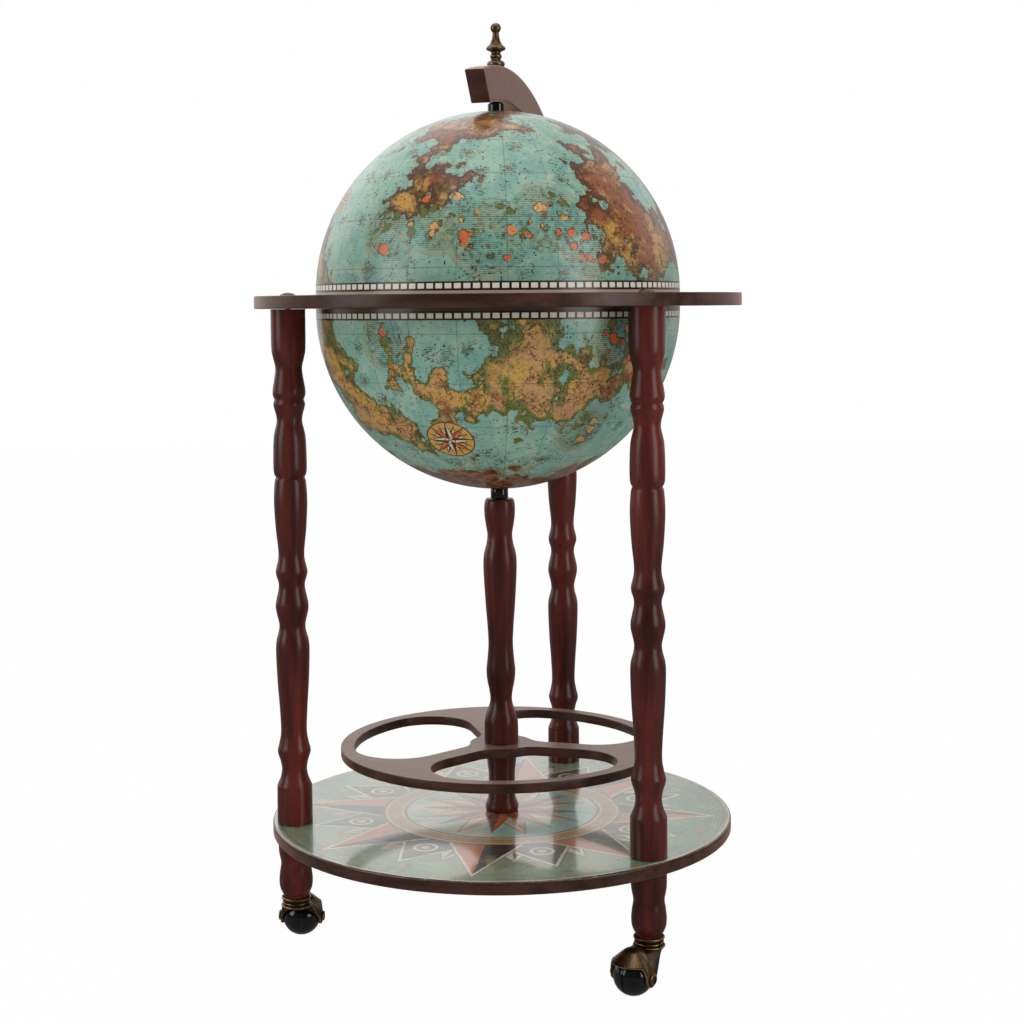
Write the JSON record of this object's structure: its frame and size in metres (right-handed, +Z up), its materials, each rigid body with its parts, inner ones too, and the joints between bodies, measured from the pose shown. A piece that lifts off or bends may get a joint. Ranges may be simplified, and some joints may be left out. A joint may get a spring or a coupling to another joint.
{
  "type": "floor globe bar",
  "caption": "Floor globe drinks cabinet: globe opening at its horizon ring, on turned legs with a round shelf, a bottle rack, an arched arm and hooded ball casters.",
  "frame": {"origin": "on the floor, on the vertical axis through the globe's poles", "axes": "+Z up; -Y is the front, where the globe opens; +Y is the back, where the lid's hinge is; +X is to the right seen from the front"},
  "size_m": [0.4404, 0.4404, 0.8318],
  "materials": {
    "mahogany": "turned hardwood, deep red mahogany stain under gloss lacquer",
    "walnut": "board stained dark brown under satin lacquer",
    "globe_print": "moulded shell covered with printed map paper under varnish",
    "shelf_print": "board covered with a printed compass star under gloss varnish",
    "antique_brass": "antique bronze tone with rubbed golden edges",
    "zinc_steel": "zinc-plated",
    "black_plastic": "smooth gloss black"
  },
  "bodies": {
    "stand": {"horizon_ring": "walnut", "lower_hemisphere": "globe_print", "bar_tray": "walnut", "bottle_floor": "walnut", "shelf": "shelf_print", "bottle_rack": "walnut", "center_post": "mahogany", "post_spool": "mahogany", "globe_spacer": "black_plastic", "post_rod": "zinc_steel", "shelf_nut": "zinc_steel", "globe_nut": "zinc_steel", "leg_back": "mahogany", "leg_left": "mahogany", "leg_right": "mahogany", "foot_back": "mahogany", "foot_left": "mahogany", "foot_right": "mahogany", "leg_stud_back": "zinc_steel", "leg_stud_left": "zinc_steel", "leg_stud_right": "zinc_steel", "ring_screw_back": "zinc_steel", "ring_screw_left": "zinc_steel", "ring_screw_right": "zinc_steel", "screw_cap_left": "antique_brass", "screw_cap_right": "antique_brass", "hinge_leaf_ring": "antique_brass", "hinge_pin": "antique_brass", "ring_leaf_screw_1": "antique_brass", "ring_leaf_screw_2": "antique_brass", "caster_socket_back": "antique_brass", "caster_socket_left": "antique_brass", "caster_socket_right": "antique_brass"},
    "lid_arm": {"meridian_arm": "walnut", "hinge_leaf_arm": "antique_brass", "arm_leaf_screw_1": "antique_brass", "arm_leaf_screw_2": "antique_brass", "finial": "antique_brass", "pivot_rod": "zinc_steel", "pivot_bushing": "black_plastic", "pole_washer": "zinc_steel", "pole_nut": "zinc_steel"},
    "lid_globe": {"upper_hemisphere": "globe_print"},
    "caster_back": {"caster_hood_back": "antique_brass", "caster_stem_back": "zinc_steel", "caster_axle_back": "antique_brass"},
    "caster_left": {"caster_hood_left": "antique_brass", "caster_stem_left": "zinc_steel", "caster_axle_left": "antique_brass"},
    "caster_right": {"caster_hood_right": "antique_brass", "caster_stem_right": "zinc_steel", "caster_axle_right": "antique_brass"},
    "wheel_back": {"caster_wheel_back": "black_plastic"},
    "wheel_left": {"caster_wheel_left": "black_plastic"},
    "wheel_right": {"caster_wheel_right": "black_plastic"}
  },
  "joints": [
    {"name": "lid_hinge", "type": "hinge", "parent": "stand", "child": "lid_arm", "pos_m": [0, 0.20546, 0.5904], "axis": [-1, 0, 0], "range_deg": [0, 90]},
    {"name": "globe_spin", "type": "hinge", "parent": "lid_arm", "child": "lid_globe", "pos_m": [0, 0, 0.7524], "axis": [0, 0, 1], "continuous": true},
    {"name": "caster_back_swivel", "type": "hinge", "parent": "stand", "child": "caster_back", "pos_m": [0, 0.1905, 0.038], "axis": [0, 0, 1], "continuous": true},
    {"name": "caster_left_swivel", "type": "hinge", "parent": "stand", "child": "caster_left", "pos_m": [-0.16498, -0.09525, 0.038], "axis": [0, 0, 1], "continuous": true},
    {"name": "caster_right_swivel", "type": "hinge", "parent": "stand", "child": "caster_right", "pos_m": [0.16498, -0.09525, 0.038], "axis": [0, 0, 1], "continuous": true},
    {"name": "caster_back_roll", "type": "hinge", "parent": "caster_back", "child": "wheel_back", "pos_m": [-0.02347, 0.18421, 0.0172], "axis": [0.2588, -0.9659, 0], "continuous": true},
    {"name": "caster_left_roll", "type": "hinge", "parent": "caster_left", "child": "wheel_left", "pos_m": [-0.17127, -0.07178, 0.0172], "axis": [-0.9659, -0.2588, 0], "continuous": true},
    {"name": "caster_right_roll", "type": "hinge", "parent": "caster_right", "child": "wheel_right", "pos_m": [0.15747, -0.11836, 0.0172], "axis": [0.9511, -0.309, 0], "continuous": true}
  ]
}
